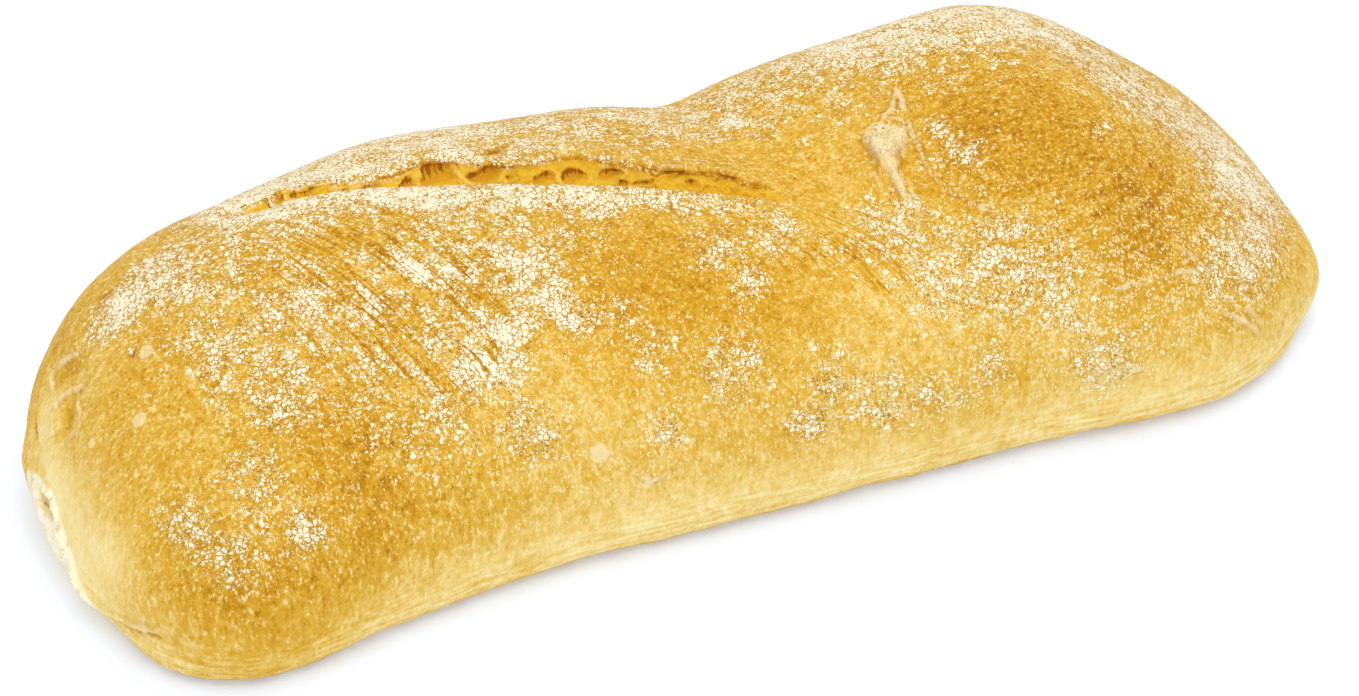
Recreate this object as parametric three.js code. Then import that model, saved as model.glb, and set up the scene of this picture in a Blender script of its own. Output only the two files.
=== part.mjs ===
// A ciabatta: one flat-bottomed loaf of stretched, floured dough that tore open along its top in the oven.
// Millimetres, +Z up. X runs along the loaf, -Y is the near side, and the origin is under its middle.
import * as THREE from "three";
import { LoftGeometry } from "three/addons/geometries/LoftGeometry.js";
import { ImprovedNoise } from "three/addons/math/ImprovedNoise.js";

// Driving dimensions
const HALF_LENGTH = 150.5;
const BASE_INSET = 5; // how far the base tucks in under the flanks
const ROUNDNESS = 2.15; // exponent of the cross-section: 2 is an ellipse, more is squarer

// Plan and heights, as [place along the loaf, size] stations
const NEAR_FLANK = [
  [-150, -60], [-118, -63.4], [-78, -58.4], [-50, -56.6], [-8, -58.7], [52, -61.8], [100, -65.6], [150, -66],
];
const FAR_FLANK = [
  [-150, 37], [-113, 50], [-78, 59], [-46, 63], [-13, 58], [16, 54], [47, 57], [84, 59], [112, 57], [150, 36],
];
const CROWN_HEIGHT = [
  [-150, 56], [-108, 59.5], [-63, 62], [-18, 60.5], [20, 57], [52, 59], [87, 62], [150, 54],
];
const CROWN_LINE = [[-150, -5], [-68, 2], [-8, 0], [32, 2], [87, 3], [150, -2]];
const BULGE_HEIGHT = [[-150, 15], [-90, 17], [80, 17], [150, 9]]; // where the flanks reach furthest out

// Ends: how far from each end a size starts to close, and how squarely it does
const LEFT_END = { plan: [35, 2.8], crown: [52, 2.1] };
const RIGHT_END = { plan: [54, 2.15], crown: [70, 1.48] };

// The tear: a straight near lip, and a scalloped far lip that the crumb lifted
const TEAR_START = new THREE.Vector2(-87, 23);
const TEAR_END = new THREE.Vector2(20, -18.5);
const TEAR_CARRY = 0.1; // share of its length by which the mesh's lip line runs on past each end
const TEAR_GAP = 9.2;
const TEAR_DEPTH = 5.5;
const TEAR_OPENING = [[-88, 0], [-78, 0.3], [-65, 0.45], [-53, 1], [-16, 1.05], [6, 0.75], [20, 0]];
const SCALLOP_PITCH = 30;
const SCALLOP_SHARE = 0.28;
const SCALLOP_PEAK = -51;
const NEAR_LIP_RISE = 0.4;
const FAR_LIP_RISE = 1.8;
const LIP_WIDTH = 7;
const LIP_OVERHANG = 1.6;
// The torn wall, as [share of the way to the far lip, share of the depth]
const TEAR_WALL = [[0, 0], [0.1, 0.5], [0.24, 1], [0.45, 0.88], [0.72, 0.6], [0.9, 0.45], [1, 0]];
const OVERHANG_FROM = 0.9;

// Crumb cells in the tear
const CELL_PITCH = 6.5;
const CELL_DEPTH = 1.3;
const CELL_LENGTH = 2.6;
const CELL_SHARES = [0.42, 0.68, 0.55]; // where cells lie across the tear, in turn
const CELL_SPREAD = 0.14;

// Mesh density
const RING_COUNT = 91;
const NEAR_COLUMNS = 26;
const TEAR_COLUMNS = 11;
const FAR_COLUMNS = 15;
const EDGE_COLUMNS = 3;
const BASE_COLUMNS = 6;
const LEAST_BAND = 5; // width of the tear's columns where the tear is narrow or absent
const TIP_BAND = 18; // what that width grows to at the tips, before it closes with the loaf
const TIP_SHARE = 0.3; // size of the ring that closes each tip, as a share of the ring before it
const TIP_RISE = 0.3;

// Skin that isn't quite even, as [wavelength, height]
const UNEVENNESS = [[46, 1.3], [19, 0.5]];
const RELIEF_FADE = 9; // height over the base within which relief dies away

// Swellings (positive) and dents (negative): centre, reach along each axis, and height
const SWELLINGS = [
  { at: [45, -13, 60], reach: [6, 6, 8], height: 3.2 }, // floury blister beside the saddle
  { at: [84, -22, 60], reach: [30, 26, 40], height: 1.6 }, // crown of the right dome
  { at: [-148, -18, 26], reach: [14, 18, 12], height: -1.6 }, // pale face pulled from its neighbour
  { at: [-140, 3, 40], reach: [6, 5, 6], height: -1.8 }, // puckers above that face
  { at: [-141, 14, 33], reach: [6, 5, 7], height: -1.8 },
  { at: [-148, -30, 6], reach: [7, 8, 7], height: 2 }, // foot of that face, left hanging where it tore
  { at: [141, -42, 10], reach: [10, 10, 11], height: 2.6 }, // near corner of the right tip
  { at: [5, -55, 30], reach: [4, 4, 4], height: 1.1 }, // small blister on the near flank
  { at: [-38, 62, 26], reach: [24, 12, 16], height: 1.4 }, // slack bulge on the far flank
];

// Ridges (positive) and creases (negative): the line each follows, its half-width and its height
const LINES = [
  // Saddle between the two domes
  { through: [[12, 50, 38], [17, 22, 55], [26, -6, 57], [38, -34, 52], [58, -56, 38]], width: 11, height: -1.9 },
  // Short openings behind the right dome's crown and before the tear
  { through: [[61, 33, 57], [68, 32, 58], [76, 29, 60]], width: 2.6, height: -2.2 },
  { through: [[-95, 27, 57], [-91, 26, 57], [-87, 24.5, 58]], width: 2.4, height: -2 },
  // Seam, torn edge and long crease of the left end
  { through: [[-148, -30, 8], [-137, -50, 8], [-118, -59, 8]], width: 3, height: -1.2 },
  { through: [[-150, 12, 15], [-151, -8, 11], [-149, -28, 8]], width: 4.5, height: 2 },
  { through: [[-98, -58, 42], [-79, -58, 38], [-63, -60, 30]], width: 3.5, height: 0.9 },
  // Folds that gather at the right end
  { through: [[107, -50, 36], [114, -58, 28], [120, -60, 18]], width: 3, height: 1.3 },
  { through: [[118, -44, 34], [125, -50, 26], [131, -52, 16]], width: 3, height: 1.1 },
  // Folds that run into the floury blister
  { through: [[54, 4, 60], [49, -4, 60], [46, -9, 60]], width: 2.5, height: 1.2 },
  { through: [[44, -18, 59], [41, -27, 57], [38, -36, 53]], width: 2.5, height: 1 },
];
const LINE_SAMPLES = 24;

// Broad stretch folds that leave the tear's near lip and turn down over the left dome's shoulder
const FOLD_PITCH = 24;
const FOLD_HEIGHT = 0.6;
const FOLD_TURN = 30; // the further from the lip, the more steeply a fold runs down
const FOLD_TURN_FROM = 6;
const FOLD_CENTRE = new THREE.Vector3(-60, -28, 52);
const FOLD_REACH = 42;

const CRUST_COLOUR = 0xdfa63c;
const CRUST_ROUGHNESS = 0.85;

const { clamp, lerp, smoothstep } = THREE.MathUtils;
const noise = new ImprovedNoise();

/** A smooth curve through [place, value] stations, as a function of the place. */
function smoothThrough(stations) {
  const places = stations.map(([place]) => place);
  const values = stations.map(([, value]) => value);
  const curve = new THREE.CubicInterpolant(places, values, 1);
  return (place) => curve.evaluate(place)[0];
}

const nearFlank = smoothThrough(NEAR_FLANK);
const farFlank = smoothThrough(FAR_FLANK);
const crownHeight = smoothThrough(CROWN_HEIGHT);
const crownLine = smoothThrough(CROWN_LINE);
const bulgeHeight = smoothThrough(BULGE_HEIGHT);
const tearOpening = smoothThrough(TEAR_OPENING);
const tearWall = smoothThrough(TEAR_WALL);

/** How much of a size is left at x: 1 along the middle of the loaf, closing to 0 at its tips. */
function closing(x, size) {
  const [reach, square] = (x < 0 ? LEFT_END : RIGHT_END)[size];
  const into = clamp((Math.abs(x) - HALF_LENGTH + reach) / reach, 0, 1);
  return (1 - into ** square) ** (1 / square);
}

/** The height of a bump at a distance measured in its own reaches. */
function bump(distance) {
  return Math.exp(-distance * distance);
}

/** The tear's near lip at x, carried a little past its ends so that the mesh can follow it. */
function nearLip(x) {
  const share = (x - TEAR_START.x) / (TEAR_END.x - TEAR_START.x);
  return lerp(TEAR_START.y, TEAR_END.y, clamp(share, -TEAR_CARRY, 1 + TEAR_CARRY));
}

/** The tear's width at x, with the scallops of its far lip. */
function tearGap(x) {
  const scallops = 1 + SCALLOP_SHARE * Math.cos(((x - SCALLOP_PEAK) / SCALLOP_PITCH) * 2 * Math.PI);
  return TEAR_GAP * Math.max(0, tearOpening(x)) * scallops;
}

/** The line that the rings are spaced along: the loaf's rim in plan, from its right tip to its left one. */
class Rim extends THREE.Curve {
  getPoint(share, target = new THREE.Vector2()) {
    const x = HALF_LENGTH * Math.cos(Math.PI * share);
    return target.set(x, farFlank(x) * closing(x, "plan"));
  }
}

/** Part of a cross-section's upper outline, between two angles: 180 degrees is the near flank and 0 the far one. */
class UpperArc extends THREE.Curve {
  constructor(section, from, to) {
    super();
    Object.assign(this, { section, from, to });
  }

  getPoint(share, target = new THREE.Vector2()) {
    const angle = lerp(this.from, this.to, share);
    const { crown, bulge, toNear, toFar, rise } = this.section;
    const across = Math.abs(Math.cos(angle)) ** (2 / ROUNDNESS);
    const up = Math.abs(Math.sin(angle)) ** (2 / ROUNDNESS);
    return target.set(crown + across * (Math.cos(angle) < 0 ? toNear : toFar), bulge + rise * up);
  }
}

/** The angle at which a section's upper outline passes over y. */
function angleOver(section, y) {
  const { crown, toNear, toFar } = section;
  const share = Math.min(1, (y - crown) / (y < crown ? toNear : toFar));
  const angle = Math.acos(share ** (ROUNDNESS / 2));
  return y < crown ? Math.PI - angle : angle;
}

/** The height of the underside within the rim: flat on the base, and curling up as it nears the end of the loaf. */
function underside(x, y) {
  const [reach, square] = (x < 0 ? LEFT_END : RIGHT_END).plan;
  const crown = crownLine(x);
  const share = Math.min(1, (y - crown) / ((y < crown ? nearFlank(x) : farFlank(x)) - crown));
  const rim = HALF_LENGTH - reach + reach * (1 - share ** square) ** (1 / square);
  const outside = 1 - clamp((rim - Math.abs(x)) / BASE_INSET, 0, 1);
  return bulgeHeight(x) * (1 - Math.sqrt(1 - outside * outside));
}

/** A rounded lower edge, from the underside at share 0 up to the flank at share 1. */
function lowerEdge(x, flank, inset, share) {
  const angle = (share * Math.PI) / 2;
  const height = lerp(underside(x, flank + inset), bulgeHeight(x), 1 - Math.cos(angle));
  return new THREE.Vector2(flank + inset * (1 - Math.sin(angle)), height);
}

/** The smooth cross-section at x: its points run up the near side, over the top, down the far side and back under. */
function ringAt(x) {
  const plan = closing(x, "plan");
  const crown = crownLine(x);
  const bulge = bulgeHeight(x);
  const section = {
    crown,
    bulge,
    toNear: (nearFlank(x) - crown) * plan,
    toFar: (farFlank(x) - crown) * plan,
    rise: (crownHeight(x) - bulge) * closing(x, "crown"),
  };
  const near = crown + section.toNear;
  const far = crown + section.toFar;
  const inset = BASE_INSET * plan;
  const lip = crown + (nearLip(x) - crown) * plan * plan;
  const farLip = lip + Math.max(tearGap(x), lerp(TIP_BAND, LEAST_BAND, plan)) * plan;

  const lipAngle = angleOver(section, lip);
  const farLipAngle = angleOver(section, farLip);
  const outline = [];
  for (let i = 0; i < EDGE_COLUMNS; i++) outline.push(lowerEdge(x, near, inset, i / EDGE_COLUMNS));
  outline.push(...new UpperArc(section, Math.PI, lipAngle).getSpacedPoints(NEAR_COLUMNS).slice(0, -1));
  outline.push(...new UpperArc(section, lipAngle, farLipAngle).getSpacedPoints(TEAR_COLUMNS).slice(0, -1));
  outline.push(...new UpperArc(section, farLipAngle, 0).getSpacedPoints(FAR_COLUMNS).slice(0, -1));
  for (let i = EDGE_COLUMNS; i >= 0; i--) outline.push(lowerEdge(x, far, -inset, i / EDGE_COLUMNS));
  for (let i = 1; i < BASE_COLUMNS; i++) {
    const y = lerp(far - inset, near + inset, i / BASE_COLUMNS);
    outline.push(new THREE.Vector2(y, underside(x, y)));
  }
  return outline.map((p) => new THREE.Vector3(x, p.x, p.y));
}

const lineTracks = LINES.map(({ through, width, height }) => {
  const curve = new THREE.CatmullRomCurve3(through.map((p) => new THREE.Vector3(...p)));
  return { points: curve.getSpacedPoints(LINE_SAMPLES), width, height };
});

/** How far the skin stands out of the smooth loaf at a point. */
function skinRelief(point) {
  let height = 0;
  for (const [wavelength, size] of UNEVENNESS) {
    height += size * noise.noise(point.x / wavelength, point.y / wavelength, point.z / wavelength);
  }
  for (const swelling of SWELLINGS) {
    const away = point.clone().sub(new THREE.Vector3(...swelling.at));
    height += swelling.height * bump(away.divide(new THREE.Vector3(...swelling.reach)).length());
  }
  for (const track of lineTracks) {
    const away = Math.min(...track.points.map((p) => p.distanceTo(point)));
    height += track.height * bump(away / track.width);
  }
  const fromLip = Math.max(0, nearLip(point.x) - point.y);
  const fold = (point.x - FOLD_TURN * Math.log(1 + fromLip / FOLD_TURN_FROM)) / FOLD_PITCH;
  const stretched = bump(point.distanceTo(FOLD_CENTRE) / FOLD_REACH);
  height += FOLD_HEIGHT * stretched * Math.sin(fold * 2 * Math.PI);
  return height * smoothstep(point.z, 0, RELIEF_FADE);
}

/** How deep the crumb cells are at a place along the tear and a share of the way across it. */
function cellDepth(x, share) {
  const order = Math.round((x - TEAR_START.x) / CELL_PITCH);
  const along = (x - TEAR_START.x - order * CELL_PITCH) / CELL_LENGTH;
  const across = (share - CELL_SHARES[order % CELL_SHARES.length]) / CELL_SPREAD;
  return CELL_DEPTH * bump(Math.hypot(along, across));
}

/** Moves a point of the tear's columns, at a share of the way across, into the torn crumb. */
function tearInto(point, normal, share) {
  const open = Math.min(1, tearGap(point.x) / TEAR_GAP);
  if (open === 0) return;
  const within = share > 0 && share < 1 ? cellDepth(point.x, share) : 0;
  point.addScaledVector(normal, -open * (TEAR_DEPTH * tearWall(share) + within));
  point.y -= open * LIP_OVERHANG * smoothstep(share, OVERHANG_FROM, 1);
}

/** How far a lip of the tear, of a given height, lifts the skin beside it. */
function lipRise(point, lip, height) {
  return height * Math.min(1, tearGap(point.x) / TEAR_GAP) * bump(point.distanceTo(lip) / LIP_WIDTH);
}

/** The loaf's rings with their relief, from the smooth rings and the way their skin faces. */
function raise(rings) {
  const facing = new LoftGeometry(rings).getAttribute("normal");
  const rowLength = rings[0].length + 1;
  const lipColumn = EDGE_COLUMNS + NEAR_COLUMNS;
  const farLipColumn = lipColumn + TEAR_COLUMNS;
  return rings.map((ring, row) =>
    ring.map((smooth, column) => {
      const normal = new THREE.Vector3().fromBufferAttribute(facing, row * rowLength + column);
      const point = smooth.clone().addScaledVector(normal, skinRelief(smooth));
      const nearest = ring[clamp(column, lipColumn, farLipColumn)];
      const lipHeight = lerp(NEAR_LIP_RISE, FAR_LIP_RISE, smoothstep(column, lipColumn, farLipColumn));
      point.addScaledVector(normal, lipRise(smooth, nearest, lipHeight));
      if (column >= lipColumn && column <= farLipColumn) {
        tearInto(point, normal, (column - lipColumn) / TEAR_COLUMNS);
      }
      point.z = Math.max(0, point.z);
      return point;
    }),
  );
}

/** The small ring that closes a tip, just outside the ring before it. */
function tipBeyond(ring, outward) {
  const centre = ring.reduce((sum, point) => sum.add(point), new THREE.Vector3()).divideScalar(ring.length);
  const tip = ring.map((point) => centre.clone().lerp(point, TIP_SHARE));
  for (const point of tip) point.x += outward * TIP_RISE;
  return tip;
}

const places = new Rim().getSpacedPoints(RING_COUNT + 1).slice(1, -1);
const rings = raise(places.map((place) => ringAt(place.x)));
const sections = [tipBeyond(rings[0], 1), ...rings, tipBeyond(rings.at(-1), -1)];
const geometry = new LoftGeometry(sections, { capStart: true, capEnd: true });
geometry.computeBoundingBox();
const middle = geometry.boundingBox.getCenter(new THREE.Vector3());
geometry.translate(-middle.x, -middle.y, 0);

const crust = new THREE.MeshStandardMaterial({
  color: CRUST_COLOUR,
  roughness: CRUST_ROUGHNESS,
  metalness: 0,
});
const loaf = new THREE.Mesh(geometry, crust);
loaf.name = "loaf";

const ciabatta = new THREE.Group();
ciabatta.name = "ciabatta";
ciabatta.add(loaf);

export default ciabatta;
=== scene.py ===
"""Looks of a whole ciabatta: floured golden crust, torn crumb, blister and puckered ends, on a pale floor."""
import itertools
import math

import bmesh
import bpy
import numpy as np
from mathutils import Matrix, Vector, kdtree


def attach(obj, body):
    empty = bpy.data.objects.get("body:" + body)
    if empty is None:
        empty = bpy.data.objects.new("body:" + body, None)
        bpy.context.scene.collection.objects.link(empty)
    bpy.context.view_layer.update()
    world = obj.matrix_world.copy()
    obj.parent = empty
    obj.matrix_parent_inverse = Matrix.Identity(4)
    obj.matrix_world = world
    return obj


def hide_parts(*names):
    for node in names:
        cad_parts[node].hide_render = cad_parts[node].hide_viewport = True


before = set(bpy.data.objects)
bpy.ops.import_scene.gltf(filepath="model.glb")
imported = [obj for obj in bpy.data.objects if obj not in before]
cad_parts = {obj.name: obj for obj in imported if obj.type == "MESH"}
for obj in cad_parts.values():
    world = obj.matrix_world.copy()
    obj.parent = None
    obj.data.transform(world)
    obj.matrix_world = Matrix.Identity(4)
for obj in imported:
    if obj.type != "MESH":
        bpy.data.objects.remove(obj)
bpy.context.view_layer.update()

# Places and sizes on the loaf are in millimetres, colours are sRGB values from 0 to 255.
MM = 0.001
SEED = 7

# Camera
VIEW_TURN = -24  # degrees round from straight across the loaf's near side
VIEW_HEIGHT = 39  # degrees over the floor
VIEW_DISTANCE = 950
VIEW_TARGET = (-8, -19, 24)
IMAGE_WIDTH = 1359
PIXELS_PER_MM = 4.52  # at the target
SENSOR_WIDTH = 36

# Studio
FLOOR_SIZE = 8000
FLOOR_DROP = 0.2
FLOOR_COLOUR = (219, 230, 251)
FLOOR_GLOW = 0.25
SKY_STRENGTH = 0.8
LAMPS = {
    "near": {"at": (-160, -460, 1080), "size": 800, "watts": 3.9},
    "far": {"at": (330, 260, 1150), "size": 900, "watts": 2.6},
}

# Mesh
JOIN_DISTANCE = 0.001
PAIR_ANGLE = 70
FINE_ABOVE = 3  # the skin over this height is made finer than the base
FINE_FAR = (42, 30)  # past this place across the loaf, only the skin over this height is
FINE_EDGE = 1.25  # longest edges of the fine skin, of the finest skin and of the tear
FINEST_EDGE = 0.6
TEAR_EDGE = 0.5
FINEST = [  # place and reach
    (48, -10, 59, 17),
    (52, -27, 54, 8),
    (-141, 5, 35, 17),
    (-149, -8, 16, 17),
    (-147, -28, 10, 13),
    (104, -61, 27, 15),
    (91, -55, 38, 12),
]
TEAR_MARGIN = 1.5  # how far the tear's fine mesh runs past its near lip, its left end and its right end
TEAR_BEFORE = 4
TEAR_AFTER = 2
TOP_ABOVE = 40  # height over which the skin belongs to the loaf's top

# The tear: a straight near lip, and torn crumb up to the far lip
TEAR_START = (-86, 24.3)
TEAR_END = (21, -17.2)
TEAR_WIDTH = 13
TEAR_OPENS = (-93, -89)  # between these places along the loaf
TEAR_BRIDGE = (-85.5, 1.0)  # place and half-width of a bridge of skin over it
TEAR_CLOSES = (15, 23)
SKIN_FIT_POWER = 6  # of the smooth surface that stands for the closed skin
SKIN_FIT_SPAN = (75, 45)
SKIN_FIT_MIDDLE = (-33, 5)
SKIN_FIT_ABOVE = 30
SKIN_FIT_MARGIN = 1  # how far past the lips the closed skin is read
CRUMB_FROM = 0.5  # share from which a place counts as crumb
CRUMB_BELOW = (0.3, 0.8)  # depth under the skin where crust gives way to crumb
SHALLOW = (1.3, 0.6)  # depth over which flour lies on the crumb too
WALL_UP = (0, 0.63, 0.78)  # the way up the torn wall

# Shallow left end of the tear: the line, its half-width and its depth
SLITS = [([(-84, 28, 57.2), (-79.4, 25.9, 58.1), (-73.9, 22.7, 58.9), (-66, 18.5, 60.8)], 2.2, 1.6)]
SLIT_DEPTH_SHARE = 0.5  # the rest of their depth is the loaf's own

# Large pockets in the crumb: place, half-length, half-height and depth
POCKETS = [
    (-83.3, 27.5, 57.2, 1.4, 1.2, 1.4),
    (-78.5, 26, 58.4, 2.8, 1.0, 0.9),
    (-72, 21, 59.8, 2.4, 0.9, 0.8),
    (-65, 18.5, 60.5, 2.6, 1.1, 1.1),
    (-57, 17.8, 58.9, 2.8, 1.9, 1.5),
    (-49.4, 18.2, 58.7, 4.8, 3.2, 1.7),
    (-41.0, 13.7, 58.8, 4.6, 2.3, 1.6),
    (-35.2, 10.0, 59.6, 1.5, 1.0, 0.9),
    (-31.0, 6.0, 60.5, 2.6, 0.8, 1.0),
    (-27.7, 8.2, 58.1, 3.3, 2.0, 1.7),
    (-22.3, 5.9, 57.4, 2.8, 2.2, 1.5),
    (-14.7, 3.6, 57.8, 3.0, 1.2, 1.5),
    (-13.4, 0.0, 58.5, 1.2, 0.8, 0.9),
    (-8.7, -0.8, 57.9, 2.8, 0.8, 1.2),
    (2.1, -4.1, 56.3, 1.8, 0.8, 1.1),
    (7.6, -5.3, 56.0, 1.5, 0.7, 1.0),
    (14.5, -8.2, 56.7, 0.8, 0.7, 0.8),
]
POCKET_WARP = (4, 2.2)  # wavelength and reach
# the pockets' thin rims are raised and painted lighter, as a painted highlight on their edges
POCKET_RIM = 0.16  # width of the thin rim round a pocket, as a share of its size
RIM_RADIUS = 1.1
RIM_CUT = (0, 0.1)  # how sharply a pocket cuts the rims of others
RIM_STRENGTH = 0.6
POCKET_SLOPE = (-1, 0.6)  # from its shallow floor up to its deep roof
POCKET_EDGE = (0, 0.15)
# share of a pocket's arch over which its roof is darkened with painted shade
POCKET_ROOF_SHADE = (0.1, 0.9)
POCKET_ENDS = 0.1

# Strands of stretched crumb between the pockets: the line, its half-width and its strength
STRANDS = [
    ([(-55.2, 19.5, 60.8), (-53.8, 15, 59), (-52.5, 11, 60.5)], 0.6, 1.0),
    ([(-46.8, 20.5, 61.2), (-45.0, 16, 58.8), (-43.6, 10, 60)], 0.7, 1.0),
    ([(-25.4, 9.5, 59.5), (-25.1, 6, 57.5), (-25.6, 3, 59)], 0.6, 0.9),
    ([(-12.6, 2, 58), (-12.2, -1, 59)], 0.4, 0.8),
    ([(-19.0, 6, 58), (-18.2, 2, 58)], 0.5, 0.7),
    ([(-37.5, 12, 59.5), (-37.0, 8, 60.5)], 0.6, 0.9),
]
STRAND_HEIGHT = 0.7

# Small crumb cells: radius and tries, from large to small
CELL_SIZES = [(1.0, 60), (0.7, 400), (0.5, 2000)]
CELL_LENGTHEN = 1.6
CELL_DEPTH_SHARE = 0.5
CELL_CLEARANCE = 0.88
CELL_WARP = (2.2, 0.7)  # wavelength and reach

# Stretch marks that leave the near lip and turn down the flank
MARK_TURN = 27  # how far a mark runs along the lip before it turns down the flank
MARK_TURN_WITHIN = 9  # distance from the lip in which it turns
MARK_LEAN = 0.33
MARK_FALL = 0.8
MARKS = [(9, 40, 0.22), (4.5, 28, 0.16), (2.6, 18, 0.08)]  # pitch, length and height
MARKED = [  # place, reach and strength
    (-80, -8, 60, 28, 1.0),
    (-40, -6, 60, 24, 0.3),
    (0, -18, 57, 22, 0.5),
    (30, -34, 50, 18, 1.0),
    (-70, -32, 54, 16, 0.9),
]

# Rings of stretched skin round the right dome
DOME = (74, -22)
DOME_LENGTHEN = 1.3
RING_ROUND = 30
RING_FALL = 0.5
RING_CORE = 0.01  # smallest radius, at the rings' middle
RINGS_FROM = (8, 20)  # radii between which the rings set in
RINGS = [(5, 30, 0.12), (2.8, 20, 0.07)]  # pitch, length and height
RINGED = [(74, -22, 60, 44, 1.0)]  # place, reach and strength

# Thin ridges (positive) and creases (negative): the line, its half-width and its height. Creases are darkened
# with painted shade.
LINES = [
    # Folds round the floury blister
    ([(47, -5.5, 59.9), (49.2, -3.1, 59.9), (51.4, -2.2, 60), (53.5, 1.2, 60.2), (56, 4.7, 60.2)], 0.6, 1.0),
    ([(56, 4.7, 60.2), (55.3, 1.2, 60.3), (53.5, -3.5, 60)], 0.6, 1.0),
    ([(53.2, -6.6, 60), (51.9, -10.1, 60), (51.2, -16.8, 58), (51.2, -21.9, 56), (52.6, -26.9, 54.6),
      (57, -33, 53), (62, -38, 51)], 0.55, 0.9),
    ([(53.4, 11.1, 59.3), (53.8, 8.3, 59.6), (52.4, 3.7, 60)], 0.5, 0.8),
    ([(43.4, -12, 58.9), (43.2, -17, 57.3), (43.8, -19.9, 55.8), (44.1, -24.3, 53.8), (45.2, -30, 51.5)],
     0.8, 1.2),
    ([(44.6, -11, 59.2), (43.6, -15, 57.9), (43.4, -19, 56.3)], 2.1, 1.1),
    ([(49.2, -4.5, 60), (50.7, -5.1, 60.2), (51.6, -6.8, 60), (51, -10, 60)], 0.5, 0.7),
    ([(47, -7, 60), (49.2, -7.8, 60.4), (49.8, -10, 60)], 0.5, -0.8),
    ([(43, -12.6, 58.8), (44.6, -13.4, 59)], 0.5, -0.6),
    ([(49.6, -11.5, 60), (49.2, -13.6, 59.6), (46.6, -15.6, 58.6), (44.5, -15.6, 58.4)], 0.5, -0.7),
    # Second lip over the tear's right half
    # the crease under this lip is darkened as the painted shadow of its overhang
    ([(-11.3, 2.6, 61.6), (-4.9, -2, 60.2), (1.7, -3.4, 58), (8, -5.6, 57), (13.7, -8.8, 57)], 0.8, -0.9),
    ([(-11.3, 4, 61.6), (-4.9, -0.4, 60.2), (1.7, -1.8, 58), (8, -4, 57), (13.7, -7.4, 57)], 1.0, 0.45),
    # Openings behind the right dome's crown, over the tear and before it
    ([(65, 35.5, 54), (72, 32.5, 55), (79, 31, 56)], 1.2, -1.8),
    ([(64, 32.5, 55), (72, 29.5, 56.5), (80, 28.5, 57)], 1.0, 0.8),
    ([(-39, 18.6, 61.4), (-35.5, 20, 60.3), (-32, 21.5, 59.6)], 1.0, -1.2),
    ([(-94, 28.5, 56), (-90, 27, 57), (-86, 26, 58)], 1.0, -1.0),
    # Crease and folds of the near flank
    ([(-94, -56, 36), (-79, -57, 34), (-63, -58, 29)], 0.9, -0.4),
    ([(79.3, -56.2, 38.6), (83.9, -55.8, 39.3), (89, -56.9, 37.7)], 0.7, 0.7),
    ([(91.5, -55.8, 38.6), (96.8, -55.5, 38.1), (101.9, -55.6, 36.5)], 0.7, 0.7),
    ([(97, -50.8, 42.2), (99.7, -52.2, 40.4), (101.9, -53.9, 38.1)], 0.7, 0.7),
    ([(104.5, -61.2, 28.5), (109.2, -61.5, 25.4), (113.1, -61.6, 21.7), (115.3, -61.5, 18)], 0.7, 0.9),
    ([(111.7, -60.1, 26.7), (116.1, -60.9, 20.7)], 0.7, 0.8),
    ([(123, -58.1, 15), (126, -55.9, 16.2)], 0.8, 0.8),
    ([(71, -62, 22), (79, -63, 22), (86, -63.6, 21)], 1.0, 0.8),
    ([(-35, -55, 26.5), (-31, -56, 22.5), (-27, -56.5, 24)], 0.7, 0.6),
    ([(10, -53, 34), (13, -54, 34), (17, -54, 33)], 0.8, 0.6),
    # Puckers of the left end: two hollows with raised rims
    ([(-134.8, 9.9, 43.6), (-137.8, 14.4, 38.7), (-140.1, 17.1, 33.3), (-142.4, 10.6, 33.4)], 0.75, 0.85),
    ([(-137.4, 1, 41.4), (-139.7, 5.4, 37.5), (-143.9, 6, 32.7), (-145.7, 0.5, 29.7)], 0.75, 0.9),
    ([(-138.9, 1.7, 38.9), (-140.1, -5, 39.7), (-141.8, -7.6, 37.3), (-145, -4, 31)], 0.75, 0.75),
    ([(-144.1, 17.1, 27.9), (-146.6, 12.8, 24.7), (-147.5, 7, 24)], 1.0, -0.7),
    # Seam along the foot of the left end
    ([(-146.7, -34.3, 7.6), (-144.1, -41.4, 9.4), (-141.4, -47.2, 11.6), (-135.2, -55.4, 14.5)], 0.9, -0.5),
    ([(-146.7, -34.3, 9.2), (-144.1, -41.4, 11), (-141.4, -47.2, 13.4), (-135.2, -55.4, 16.2)], 0.9, 0.5),
]
# Hollows of the left end's puckers, browned as painted shade
HOLLOWS = [
    ([(-141.4, 13, 34.5), (-139.1, 11.5, 38.1), (-136, 8, 41.5)], 2.6, -1.2),
    ([(-144.6, -1.5, 32), (-143.1, -1, 34.7), (-140.6, 2, 37)], 2.4, -1.2),
]
HOLLOW_SHADE_BROWN = 0.9
CREASE_SHADE_BROWN = 0.9
LINE_WARP = (2.5, 0.5)  # wavelength and reach
LINE_WANING = (5, 1.5)  # wavelength and strength of the lines' uneven height
LINE_RANGE = (0.2, 1.5)  # lowest and highest share of it
LINE_END = 0.15  # how blunt a line's ends are
LINE_REACH = 3  # half-widths from a line where it has died away

# Small blisters (positive) and pits (negative): place, reach and height
SPOTS = [
    (-2.5, -54.4, 32.7, 2.2, 0.5),
    (3.9, -55.5, 31.9, 3.0, 0.7),
    (24.6, -47.6, 42.2, 1.4, -1.1),
    (-12, -55, 29, 1.6, 0.4),
    (-57, -45, 43, 0.9, -0.6),
    (-132, -21, 46.3, 1.8, 0.5),
    (-141, -14.3, 38.2, 1.2, 0.4),
    (-42.3, -53.2, 32.2, 2.6, 0.5),
    (-128.4, -5.6, 50.8, 1.2, -0.5),
]

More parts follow.
